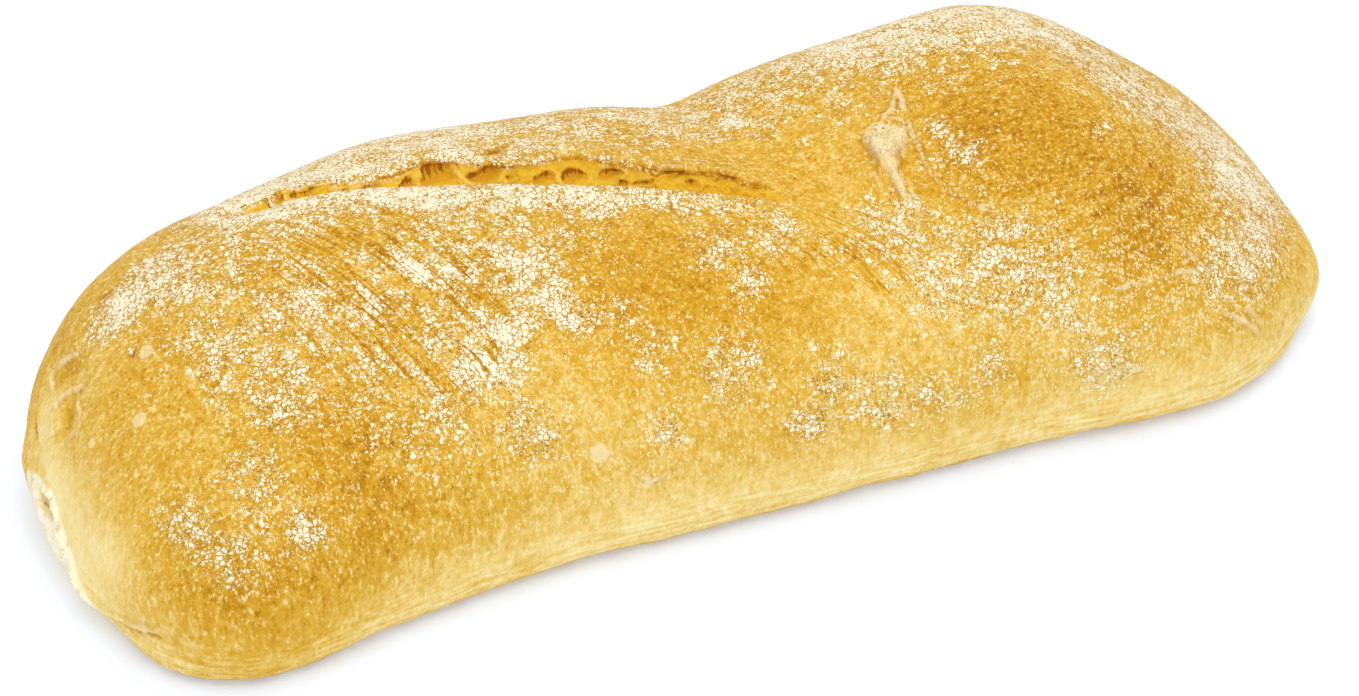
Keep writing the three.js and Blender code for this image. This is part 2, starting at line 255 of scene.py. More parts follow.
# Pale and scorched marks: place, reach and strength
PALE_SPOTS = [
    (-132, -21, 46.3, 2.0, 1),
    (-141, -14.3, 38.2, 1.3, 1),
    (-125.3, -6.8, 52.6, 2.0, 1),
    (-42.3, -53.2, 32.2, 2.6, 1),
    (-31.6, -56.1, 22.4, 1.6, 0.8),
]
SCORCHED = [
    # the first one darkens the hole at the tear's left tip: painted shade
    (-83.3, 27.5, 57.2, 1.2, 0.9),
    (-68.7, 15, 62, 1.0, 0.9),
    (-128, -4.6, 51.1, 1.6, 0.8),
    (-147.2, -34.1, 11.7, 0.9, 0.6),
    (-75.9, -53.5, 34, 0.8, 0.8),
    (-43.8, -39.9, 49.3, 0.8, 0.7),
    (100.3, -34.8, 51.9, 0.8, 1.0),
    (-91.5, -58.4, 26.3, 1.0, 0.8),
    (-33.6, -55.2, 26.6, 0.7, 0.6),
    (41.2, -22.2, 53.8, 0.8, 0.7),
    (38.8, -16.4, 55.2, 0.7, 0.6),
]

# Torn edge along the foot of the left end, where a neighbouring loaf was pulled off
TORN_RIM = [(-150.2, 7.3, 16.9), (-148.9, -5.5, 19.2), (-149.7, -16, 13.8), (-149.2, -28.7, 9.2)]
TORN_STRIP = [(-150.5, 6, 14), (-150.5, -6, 14), (-150, -17, 10), (-148.5, -29, 6)]
TORN_HOLLOW = [(-150.2, 2, 16.6), (-149.8, -2.8, 16.7), (-150, -7.5, 15.6)]
TORN = [(TORN_STRIP, 3.4, 1.2), (TORN_RIM, 1.7, 1.0)]  # half-width and strength
TORN_LINES = [(TORN_RIM, 0.9, 1.3), (TORN_HOLLOW, 1.4, -1.2)]  # half-width and height
TORN_RELIEF = [(4.5, 1.2), (2.2, 0.8)]  # wavelength and height

# The floury blister
BLISTER = (45.6, -11.2, 59.4)
BLISTER_SQUEEZE = (0.74, 1, 1)
BLISTER_RADII = (4.8, 6.6)  # of its flat top and of its foot
BLISTER_HEIGHT = 1.4
BLISTER_CREASE = (7.6, 0.7, 0.3)  # radius, half-width and depth of the fold round its foot
BLISTER_RELIEF = [(3.2, 0.7), (1.3, 0.5)]  # wavelength and height
BLISTER_WARP = (4.5, 3.0)  # wavelength and reach

# Low relief over all the skin, and the base's uneven edge: wavelength and height
SKIN_RELIEF = [(3.2, 0.12), (1.9, 0.08)]
EDGE_RELIEF = [(17, 0.9), (6, 0.5)]
EDGE_HEIGHT = (1, 9)
RELIEF_ABOVE = (1, 7)  # heights between which the relief sets in

# Masks painted on the skin: place, reach and strength. Flour's strength is the share of the crust it covers.
FLOURED = [
    # Left dome
    (-45, -20, 59, 7, 0.42),
    (-44, -28, 56, 5, 0.4),
    (-54, -33, 54, 4, 0.3),
    (-39, -34, 53, 4, 0.35),
    (-30, -36, 53, 4, 0.3),
    (-28, -16, 60, 5, 0.2),
    (-94, -14, 59, 8, 0.36),
    (-112, -20, 55, 10, 0.2),
    (-106, -31, 53, 8, 0.32),
    (-79, -19, 59, 4, 0.35),
    (-60, -37, 50, 5, 0.35),
    (-112, 4, 57, 16, 0.25),
    (-127, 13, 49, 7, 0.45),
    (-117, 16, 54, 8, 0.35),
    (-68, -28, 56, 24, 0.17),
    (-95, -12, 59, 30, 0.12),
    (-40, -12, 60, 24, 0.09),
    (-72, -42, 46, 16, 0.16),
    (-55, -13, 61, 9, 0.22),
    (-117, -46, 44, 8, 0.3),
    (-108, -56, 36, 5, 0.4),
    (-132, -45, 37, 6, 0.4),
    (-123, -55, 32, 7, 0.3),
    # Clumps on the near flank
    (-63, -36, 52, 6, 0.34),
    (-55, -48.5, 39, 6, 0.36),
    (-24, -44, 47, 6, 0.34),
    (-26, -53.5, 33, 5, 0.3),
    (-9, -49, 41, 8, 0.4),
    (-4, -26, 56, 6, 0.4),
    (0, -36, 51, 4.5, 0.3),
    (13, -53, 36, 6, 0.32),
    (5, -57, 27, 6, 0.32),
    (24, -58, 26, 9, 0.28),
    (38, -59, 25, 6, 0.2),
    (49, -58.5, 28, 6, 0.28),
    (76, -62, 24, 9, 0.34),
    # Saddle and right dome
    (12, -27, 54, 8, 0.35),
    (36, -31, 50, 11, 0.38),
    (42, -45, 44, 10, 0.28),
    (58, -44, 46, 11, 0.36),
    (58, -12, 59.7, 2.5, 0.4),
    (60, -21, 57.5, 4.5, 0.3),
    (59, -18, 58, 5, 0.2),
    (69, -52, 41, 12, 0.25),
    (92, -25, 58, 3, 0.35),
    (92, -52, 43, 12, 0.06),
    (112, -8, 49, 14, 0.38),
    (127, -30, 36, 14, 0.5),
    (118, -50, 34, 11, 0.32),
    (134, -12, 33, 18, 0.5),
    (108, -55, 34, 8, 0.3),
    # Far rim
    (-84, 36, 52, 22, 0.64),
    (-40, 34, 55, 34, 0.56),
    (12, 24, 54, 22, 0.35),
    (60, 36, 52, 28, 0.6),
    (100, 26, 52, 26, 0.55),
]
DUSTED = [
    (125, -30, 35, 29, 0.4),
    (104, -57, 30, 20, 0.22),
    (80, -58, 34, 24, 0.3),
    (58, -42, 48, 24, 0.25),
    (30, -54, 36, 34, 0.22),
    (-35, -53, 36, 34, 0.28),
    (-105, -50, 40, 26, 0.2),
    (100, -20, 55, 22, 0.1),
]
DUST_EVERYWHERE = 0.06
FLOUR_LINES = [  # the line, its half-width and its strength
    ([(-73, -6, 61), (-68, -12, 60), (-64, -18, 59)], 2.0, 0.4),
    ([(-100, 24, 56), (-75, 17, 61), (-50, 6, 63)], 6, 0.4),
    ([(-60, 10, 63), (-18, -7, 60), (14, -18, 55)], 4.5, 0.4),
    ([(5, 5, 58), (18, 5.8, 55), (28, 1.2, 55)], 2.0, -0.4),
]
FLOUR_EVERYWHERE = 0.02
UNDERSIDE = (0.5, 0.8)  # how far down the skin faces where the underside begins
FLOUR_UNDER = 0.25
FLOUR_LIMIT = 0.8
PATCHES = [(7, 1.1), (2.6, 0.7)]  # wavelength and strength of the flour's patchiness
RING_EVENNESS = 0.6  # how much less patchy it is on the right dome
BLISTER_FLOUR = 0.22
BROWNED = [
    (73, -23, 60, 22, 1.0),
    (97, -44, 47, 19, 0.9),
    (87, -52, 40, 14, 0.6),
    (-22, -32, 54, 18, 1.0),
    (6, -40, 48, 14, 0.7),
    (-95, -44, 47, 12, 0.6),
    (-120, -60, 16, 17, 1.0),
    (-93, -55, 36, 12, 0.6),
    (-60, -22, 58, 10, 0.3),
]
BROADNESS = [(26, 0.5), (9, 0.25)]  # wavelength and strength of uneven baking
BROWN_UNDER = 0.5
PALED = [
    (-148, -20, 22, 15, 0.85),
    (-148, -5, 23, 8, 0.7),
    (-144, 12, 31, 9, 0.5),
    (-146, 6, 27, 7, 0.4),
    (-137, 2, 43, 12, 0.25),
    (-144, -36, 24, 9, 0.6),
    (-35, -53, 34, 30, 0.4),
    (30, -53, 36, 30, 0.35),
    (85, -61, 26, 24, 0.4),
]
PALE_BELOW = (6, 28)  # heights over which the pale band round the loaf's foot fades
PALE_BAND = 0.7
# painted highlight: a lighter line along the very foot of the loaf
FOOT_HIGHLIGHT_BELOW = (1, 3.5)
FOOT_HIGHLIGHT = 0.4
LIP_EDGE = 0.6  # width of the far lip's browned edge
LIP_WARP = (3.2, 0.9)  # wavelength and depth of its uneven line
LIP_DEPTH = (0, 0.3)  # depth over which that line sets in
LIP_BEYOND = (1.5, 3)  # distance from the near lip where the far lip begins
LIP_BARE = 0.8  # share of its flour that the far lip's edge has lost
BROWN_RANGE = (-0.6, 1.3)
PALE_LIMIT = 1.3
PALE_CLEAN = 0.7  # paleness over which dust is lost

# Crust colours, from pale dough to deep brown: share and colour
CRUST = [
    (0.0, (254, 236, 174)),
    (0.25, (243, 209, 120)),
    (0.5, (227, 179, 62)),
    (0.75, (210, 153, 28)),
    (1.0, (174, 114, 18)),
]
FLOUR = (255, 247, 216)
FLOUR_THIN = (247, 226, 154)
# crust in the flour's cracks, and painted shade along the edges of flour pieces and specks
CRACK_AND_EDGE_SHADE = (160, 106, 22)
# painted shade in creases and openings
CREASE_SHADE = (148, 84, 20)
# pale crests, partly flour and partly a painted highlight
RIDGE_FLOUR_AND_HIGHLIGHT = (253, 236, 186)
# painted shade along the feet of ridges
RIDGE_FOOT_SHADE = (178, 118, 24)
FLECK = (253, 235, 176)
PIT = (160, 98, 18)
SCORCH = (176, 92, 22)
SPOT = (247, 227, 170)
CRUMB = (238, 190, 50)
# painted shade: crumb darker the deeper a cell or pocket goes
CRUMB_DEEP_SHADE = (222, 166, 36)
# pale crumb, also used for the painted highlight on the pockets' rims
CRUMB_PALE_AND_RIM_HIGHLIGHT = (248, 213, 98)
# painted shade under the crumb's upper lip, in the pockets' roofs
CRUMB_ROOF_SHADE = (160, 94, 20)
TORN_DOUGH = (255, 247, 214)
TORN_SHADE = (238, 212, 148)
BLISTER_SKIN = (246, 229, 176)
BLISTER_HOLLOW = (232, 192, 96)

# Coats of colour: where on its mask each begins and is full, its strength and its colour
COATS = {
    "blister hollow": (-0.02, 0.16, 1, BLISTER_HOLLOW),
    "ridge foot shade": (0.1, 0.9, 0.4, RIDGE_FOOT_SHADE),
    "fleck": (-0.07, -0.18, 0.6, FLECK),
    "ridge": (0.15, 0.9, 0.7, RIDGE_FLOUR_AND_HIGHLIGHT),
    "crease": (0.35, 1, 0.8, CREASE_SHADE),
    "pale spot": (0.4, 0.6, 0.75, SPOT),
    "scorch": (0.35, 0.8, 1, SCORCH),
    "speck edge shadow": (-0.2, -0.02, 0.2, CRACK_AND_EDGE_SHADE),
    "speck": (-0.02, 0.1, 0.8, FLECK),
    "thick flour": (0, 0.18, 1, FLOUR),
    "torn shade": (-0.05, 0.2, 1, TORN_SHADE),
    "deep crumb shade": (0.05, 0.8, 1, CRUMB_DEEP_SHADE),
    "crumb grain": (0.05, 0.25, 0.4, CRUMB_PALE_AND_RIM_HIGHLIGHT),
    "crumb roof": (0.45, 0.9, 0.85, CRUMB_ROOF_SHADE),
    "strands_and_highlit_rims": (0.3, 0.8, 0.75, CRUMB_PALE_AND_RIM_HIGHLIGHT),
}
BLISTER_COVER = 0.85
PIT_COVER = 0.5
CRACK_COVER = 0.95
FLOUR_COVER = 0.95
BARE_SHALLOW = 0.8  # how far flour on the shallow crumb hides it

# Crust texture: wavelength, detail and roughness of its mottling and its grain, drawn out down the flanks
HANG = (1, 1, 0.5)
MOTTLE = (2.8, 4, 0.8)
GRAIN = (0.95, 2, 0.75)
PALE_SMOOTHS = 0.6
PITTED = (0.15, 0.26)  # grain where pits begin and are full
UNPITTED = (0.7, 0.1)  # paleness where they are lost and are full
SPOT_RAGGED = 1.2
BRUSH = (0.12, 0.12, 1)  # brushed lines along the foot
BRUSHED_BELOW = (7, 18)
STREAKS = [(4.5, 30, 0.6), (2.2, 48, 0.9)]  # pitch, length and strength along the stretch marks
RING_STREAK = (2.2, 22, 1.3)
GROOVE = (4.2, 55)  # pitch and length of the dark grooves between the stretch marks
GROOVE_EDGE = (0.008, 0.028)
GROOVED = (0.4, 0.9)
BAKED = 0.52  # how brown plain crust is, and what makes it browner or paler
BAKING = {"browning_and_shade": 0.24, "pale": -0.4, "mottled": 1.1, "grain": 1.0, "drawn": -0.4, "groove": 0.25,
          "flour": 0.15, "brushed": 0.9, "lip": 0.35}
ROUGHNESS = 0.7
FLOUR_ROUGHNESS = 0.25
GLOSS = 0.1
BUMP_STRENGTH = 0.9
BUMP_HEIGHT = 0.7
BUMP_MOTTLE = 1.3

# Flour texture: a film that is cracked into pieces, and small specks
FLOUR_WANDER = 0.9  # wavelength and reach of its ragged edges
SWEPT = {"drawn": 3, "groove": -0.8}  # how the stretched skin gathers or sheds it
FILM_PIECE = 1.2
FILM_CRACK = (0.16, 0.03)  # from a piece's border, in its size
FILM_BROAD = 2.6  # wavelengths of its unevenness, in its size
FILM_RAGGED = 0.6
FILM_NOISE = (2, 0.6)  # detail and roughness
FILM_BARE = -0.92
FILM_TERMS = {"covered": 1.38, "piece": 0.4, "broad": 1.2, "ragged": 1.5, "crack": -0.55}
FILM_EDGE = (-0.03, 0.05)
CRACK_EDGE = (-0.3, -0.04)
CRACK_DENSITY = (0.08, 0.35)  # flour over which its cracks show
SPECK_SIZE = 0.65
SPECK_HANG = (1, 1, 0.55)
SPECK_CHANCE = 1.5
SPECK_SPARE = (0, 0.4)
SPECK_RADII = (-0.3, 0.45)
SPECK_RAGGED = 0.8

# Crumb texture
TORN_EDGE = (0.25, 0.6)
TORN_HOLLOWED = 0.3
FIBRES = (2, 0.2, 0.25)
FIBRE_STRENGTH = 2.4
CELL_SHALLOW = (0.5, 0.2)  # depth of the cells that flour still lies over

scene = bpy.context.scene
dice = np.random.default_rng(SEED)


def linear(colour):
    """An sRGB colour as the linear RGBA that shaders take."""
    shares = [value / 255 for value in colour]
    return tuple(s / 12.92 if s <= 0.04045 else ((s + 0.055) / 1.055) ** 2.4 for s in shares) + (1,)


# Camera, floor and light
def make_camera():
    """The camera, looking at the loaf's near side from above its left end."""
    turn = math.radians(VIEW_TURN)
    height = math.radians(VIEW_HEIGHT)
    back = Vector((math.sin(turn) * math.cos(height), -math.cos(turn) * math.cos(height), math.sin(height)))
    right = Vector((math.cos(turn), math.sin(turn), 0))
    lens = bpy.data.cameras.new("camera")
    lens.sensor_width = SENSOR_WIDTH
    lens.lens = SENSOR_WIDTH * PIXELS_PER_MM * VIEW_DISTANCE / IMAGE_WIDTH
    camera = bpy.data.objects.new("camera", lens)
    camera.matrix_world = Matrix((right, back.cross(right), back)).transposed().to_4x4()
    camera.location = (Vector(VIEW_TARGET) + back * VIEW_DISTANCE) * MM
    scene.collection.objects.link(camera)
    scene.camera = camera


def make_studio():
    """A plain pale floor, a white sky and soft lamps."""
    half = FLOOR_SIZE * MM / 2
    mesh = bpy.data.meshes.new("floor")
    corners = [(-half, -half, 0), (half, -half, 0), (half, half, 0), (-half, half, 0)]
    mesh.from_pydata(corners, [], [(0, 1, 2, 3)])
    floor = bpy.data.objects.new("floor", mesh)
    floor.location.z = -FLOOR_DROP * MM
    scene.collection.objects.link(floor)
    paint = bpy.data.materials.new("floor")
    paint.use_nodes = True
    shader = paint.node_tree.nodes["Principled BSDF"]
    shader.inputs["Base Color"].default_value = linear(FLOOR_COLOUR)
    shader.inputs["Roughness"].default_value = 1
    shader.inputs["Specular IOR Level"].default_value = 0
    shader.inputs["Emission Color"].default_value = (1, 1, 1, 1)
    shader.inputs["Emission Strength"].default_value = FLOOR_GLOW
    mesh.materials.append(paint)

    world = bpy.data.worlds.new("sky")
    world.use_nodes = True
    sky = world.node_tree.nodes["Background"]
    sky.inputs["Color"].default_value = (1, 1, 1, 1)
    sky.inputs["Strength"].default_value = SKY_STRENGTH
    scene.world = world

    for name, lamp in LAMPS.items():
        light = bpy.data.lights.new(name, "AREA")
        light.shape = "DISK"
        light.size = lamp["size"] * MM
        light.energy = lamp["watts"]
        holder = bpy.data.objects.new(name, light)
        holder.location = Vector(lamp["at"]) * MM
        holder.rotation_euler = (-holder.location).to_track_quat("-Z", "Y").to_euler()
        scene.collection.objects.link(holder)
    scene.view_settings.view_transform = "Standard"


# Mesh
def near_lip(x):
    """Where the tear's near lip lies across the loaf."""
    slope = (TEAR_END[1] - TEAR_START[1]) / (TEAR_END[0] - TEAR_START[0])
    return TEAR_START[1] + slope * (x - TEAR_START[0])


def refine(bm, wanted, longest):
    """Splits the edges in a wanted place that are longer than a limit."""
    long = [edge for edge in bm.edges if edge.calc_length() > longest * MM]
    edges = [edge for edge in long if wanted(edge.verts[0].co / MM) and wanted(edge.verts[1].co / MM)]
    bmesh.ops.subdivide_edges(bm, edges=edges, cuts=1, use_grid_fill=True)


def in_fine_skin(place):
    """True where the skin is made finer."""
    return place.z > (FINE_ABOVE if place.y < FINE_FAR[0] else FINE_FAR[1])


def in_finest_skin(place):
    """True where the skin is made finer still: the blister, the left end and the near flank's folds."""
    return any((place - Vector(spot[:3])).length < spot[3] for spot in FINEST)


def in_tear(place):
    """True near the tear's crumb and lips."""
    across = place.y - near_lip(place.x)
    inside = TEAR_START[0] - TEAR_BEFORE < place.x < TEAR_END[0] + TEAR_AFTER
    return inside and -TEAR_MARGIN < across < TEAR_WIDTH and place.z > TOP_ABOVE


def fine_mesh(node):
    """A smooth, fine copy of a node's mesh."""
    bm = bmesh.new()
    bm.from_mesh(node.data)
    bmesh.ops.remove_doubles(bm, verts=bm.verts[:], dist=JOIN_DISTANCE * MM)
    pair = math.radians(PAIR_ANGLE)
    bmesh.ops.join_triangles(bm, faces=bm.faces[:], angle_face_threshold=pair, angle_shape_threshold=pair)
    mesh = bpy.data.meshes.new("loaf_skin")
    bm.to_mesh(mesh)
    bm.free()

    piece = bpy.data.objects.new("loaf_skin", mesh)
    scene.collection.objects.link(piece)
    rounding = piece.modifiers.new("rounding", "SUBSURF")
    rounding.levels = 1
    bpy.context.view_layer.update()
    smooth = bpy.data.meshes.new_from_object(piece.evaluated_get(bpy.context.evaluated_depsgraph_get()))
    piece.modifiers.clear()

    bm = bmesh.new()
    bm.from_mesh(smooth)
    refine(bm, in_fine_skin, FINE_EDGE)
    refine(bm, in_finest_skin, FINEST_EDGE)
    refine(bm, in_tear, TEAR_EDGE)
    refine(bm, in_tear, TEAR_EDGE)

    # A vertex in the middle of an edge would fold its two faces onto each other
    for vert in [vert for vert in bm.verts if len(vert.link_edges) == 2]:
        bmesh.utils.vert_collapse_edge(vert, vert.link_edges[0])
    bm.to_mesh(mesh)
    bm.free()
    bpy.data.meshes.remove(smooth)
    return piece


# Places on the skin
def smooth_step(low, high, value):
    """0 below low, 1 above high, and smooth between."""
    share = np.clip((value - low) / (high - low), 0, 1)
    return share * share * (3 - 2 * share)


WARP_APART = 9  # sets the noise of each direction apart
NOISE_SIZE = 256
NOISE_ORDER = dice.permutation(NOISE_SIZE)
NOISE_SLOPES = dice.normal(size=(NOISE_SIZE, 3))
NOISE_SLOPES /= np.linalg.norm(NOISE_SLOPES, axis=1)[:, None]


def noise(places):
    """Smooth noise, mostly between -0.6 and 0.6, at places measured in wavelengths."""
    cell = np.floor(places).astype(int)
    into = places - cell
    ease = into ** 3 * (into * (into * 6 - 15) + 10)
    total = np.zeros(len(places))
    for corner in itertools.product((0, 1), repeat=3):
        at = (cell + corner) % NOISE_SIZE
        pick = NOISE_ORDER[at[:, 0]]
        for axis in (1, 2):
            pick = NOISE_ORDER[(pick + at[:, axis]) % NOISE_SIZE]
        share = np.prod(np.where(corner, ease, 1 - ease), axis=1)
        total += share * np.sum(NOISE_SLOPES[pick] * (into - corner), axis=1)
    return total


def waves(points, sizes):
    """The sum of noise of each wavelength and height."""
    return sum(height * noise(points / wavelength) for wavelength, height in sizes)


def along_line(through, samples=40):
    """Points spread along a line through a few places."""
    through = np.array(through, float)
    steps = np.linspace(0, len(through) - 1, samples)
    return np.stack([np.interp(steps, range(len(through)), through[:, axis]) for axis in range(3)], axis=1)


def crest(share):
    """How high a soft ridge is, at shares of its half-width from its line."""
    return np.exp(-share ** 2)


def moat(share):
    """How strong the painted shade along both feet of a ridge is."""
    return 2 * np.maximum(0, 2 * share ** 2 - 1) * np.exp(-share ** 2)


def warped(points, warp):
    """Points moved by smooth noise of one wavelength and reach."""
    wavelength, reach = warp
    moves = [noise(points / wavelength + WARP_APART * axis) for axis in range(3)]
    return points + reach * np.stack(moves, axis=1)


class Skin:
    """The loaf's vertices, their normals, and masks round places and lines that lie on them."""

    def __init__(self, mesh):
        places = np.empty(len(mesh.vertices) * 3)
        mesh.vertices.foreach_get("co", places)
        normals = np.empty(len(mesh.vertices) * 3, np.float32)
        mesh.vertex_normals.foreach_get("vector", normals)
        self.points = places.reshape(-1, 3) / MM
        self.normals = normals.reshape(-1, 3).astype(float)
        self.bent = warped(self.points, LINE_WARP)
        self.tree = self.tree_of(range(len(self.points)))

    def tree_of(self, indices):
        """A quick way to the nearest of some vertices."""
        tree = kdtree.KDTree(len(indices))
        for index in indices:
            tree.insert(self.points[index], index)
        tree.balance()
        return tree

    def settle(self, places):
        """The vertices nearest to some places."""
        return np.array([self.tree.find(place)[0] for place in places])

    def patches(self, spots):
        """The sum of soft round spots at each point."""
        total = np.zeros(len(self.points))
        for x, y, z, reach, strength in spots:
            away = np.linalg.norm(self.points - self.settle([(x, y, z)]), axis=1) / reach
            total += strength * np.exp(-away ** 2)
        return total

    def ridges(self, lines, profile=crest):
        """The sum of soft ridges that follow lines and die away at their ends."""
        total = np.zeros(len(self.points))
        for through, width, strength in lines:
            track = self.settle(along_line(through))
            fade = np.sin(np.linspace(LINE_END, math.pi - LINE_END, len(track))) ** 0.5
            low = track.min(axis=0) - LINE_REACH * width
            high = track.max(axis=0) + LINE_REACH * width
            near = np.flatnonzero(((self.points > low) & (self.points < high)).all(axis=1))
            away = np.linalg.norm(self.bent[near, None] - track[None], axis=2)
            total[near] += strength * fade[away.argmin(axis=1)] * profile(away.min(axis=1) / width)
        return total


def marks_at(points):
    """Places across and along the stretch marks on the near side."""
    x, y, z = points.T
    below = np.maximum(0, z.max() - z)
    away = np.maximum(0, near_lip(x) - y) + MARK_FALL * below
    turned = MARK_TURN * (1 - np.exp(-away / MARK_TURN_WITHIN)) + MARK_LEAN * away
    return np.stack([x - turned, turned + away, np.zeros(len(x))], axis=1)


def rings_at(points):
    """Places across and round the rings of the right dome."""
    x = (points[:, 0] - DOME[0]) / DOME_LENGTHEN
    y = points[:, 1] - DOME[1]
    out = np.hypot(x, y) + RING_CORE
    radius = out + RING_FALL * np.maximum(0, points[:, 2].max() - points[:, 2])
    return np.stack([radius, RING_ROUND * x / out, RING_ROUND * y / out], axis=1)


def streaks(places, sizes):
    """Long thin waves: the sum of stretched noise of each pitch, length and height."""
    return sum(2 * height * noise(places / (pitch, length, length)) for pitch, length, height in sizes)


# Crumb
def skin_depth(points):
    """How deep each point lies under the skin, as if the tear were closed."""
    x = (points[:, 0] - SKIN_FIT_MIDDLE[0]) / SKIN_FIT_SPAN[0]
    y = (points[:, 1] - SKIN_FIT_MIDDLE[1]) / SKIN_FIT_SPAN[1]
    powers = [(i, j) for i in range(SKIN_FIT_POWER + 1) for j in range(SKIN_FIT_POWER + 1 - i)]
    terms = np.stack([x ** i * y ** j for i, j in powers], axis=1)
    across = points[:, 1] - near_lip(points[:, 0])
    beside = (np.abs(x) < 1) & (np.abs(y) < 1) & (points[:, 2] > SKIN_FIT_ABOVE)
    beside &= (across < 0) | (across > TEAR_WIDTH)
    weights = np.linalg.lstsq(terms[beside], points[beside, 2], rcond=None)[0]
    inside = (across > -SKIN_FIT_MARGIN) & (across < TEAR_WIDTH + SKIN_FIT_MARGIN)
    inside &= (np.abs(x) < 1) & (points[:, 2] > TOP_ABOVE)
    return np.where(inside, terms @ weights - points[:, 2], 0)


def small_cells(points, crumb):
    """How deep the crumb's small cells are at each point."""
    inside = np.flatnonzero(crumb > CRUMB_FROM)
    walls = warped(points[inside], CELL_WARP) / (CELL_LENGTHEN, 1, 1)
    centres = np.empty((0, 3))
    radii = np.empty(0)
    for radius, tries in CELL_SIZES:
        for pick in dice.integers(len(inside), size=tries):
            gap = np.linalg.norm(centres - walls[pick], axis=1)
            if np.all(gap > CELL_CLEARANCE * (radii + radius)):
                centres = np.vstack([centres, walls[pick]])
                radii = np.append(radii, radius)
    depth = np.zeros(len(inside))
    for centre, radius in zip(centres, radii):
        share = np.linalg.norm(walls - centre, axis=1) / radius
        depth = np.maximum(depth, CELL_DEPTH_SHARE * radius * np.sqrt(np.maximum(0, 1 - share ** 2)))
    full = np.zeros(len(points))
    full[inside] = depth * crumb[inside]
    return full


def large_pockets(skin, crumb):
    """How deep the crumb's large pockets are, and masks of the painted shade under their roofs and of their
    thin rims, which are also painted lighter as a highlight.
    """
    walls = warped(skin.points, POCKET_WARP)
    depth = np.zeros(len(walls))
    roof_shade = np.zeros(len(walls))
    rim = np.zeros(len(walls))
    for x, y, z, length, height, deep in POCKETS:
        away = walls - skin.settle([(x, y, z)])
        along = away[:, 0] / length
        up = away @ WALL_UP / height
        inside = np.clip(1 - along ** 2 - up ** 2, 0, 1)
        arch = up / np.sqrt(np.maximum(POCKET_ENDS, 1 - along ** 2))
        depth = np.maximum(depth, deep * np.sqrt(inside) * smooth_step(*POCKET_SLOPE, up))
        roof_shade = np.maximum(roof_shade, smooth_step(*POCKET_EDGE, inside) * smooth_step(*POCKET_ROOF_SHADE, arch))
        rim *= 1 - smooth_step(*RIM_CUT, inside)
        rim = np.maximum(rim, crest((np.hypot(along, up) - RIM_RADIUS) / POCKET_RIM))
    return depth * crumb, roof_shade * crumb, rim * crumb


def from_crumb(skin, crumb):
    """How far each point is from the open crumb."""
    tree = skin.tree_of(np.flatnonzero(crumb > CRUMB_FROM))
    away = np.full(len(skin.points), np.inf)
    across = skin.points[:, 1] - near_lip(skin.points[:, 0])
    beside = (np.abs(across) < 2 * TEAR_WIDTH) & (skin.points[:, 2] > TOP_ABOVE)
    for index in np.flatnonzero(beside):
        away[index] = tree.find(skin.points[index])[2]
    return away


def paint(mesh, masks):
    """Keeps one number or one place a vertex for each mask, for the material."""
    for name, values in masks.items():
        kind, field = ("FLOAT", "value") if values.ndim == 1 else ("FLOAT_VECTOR", "vector")
        mesh.attributes.new(name, kind, "POINT").data.foreach_set(field, values.astype(np.float32).ravel())


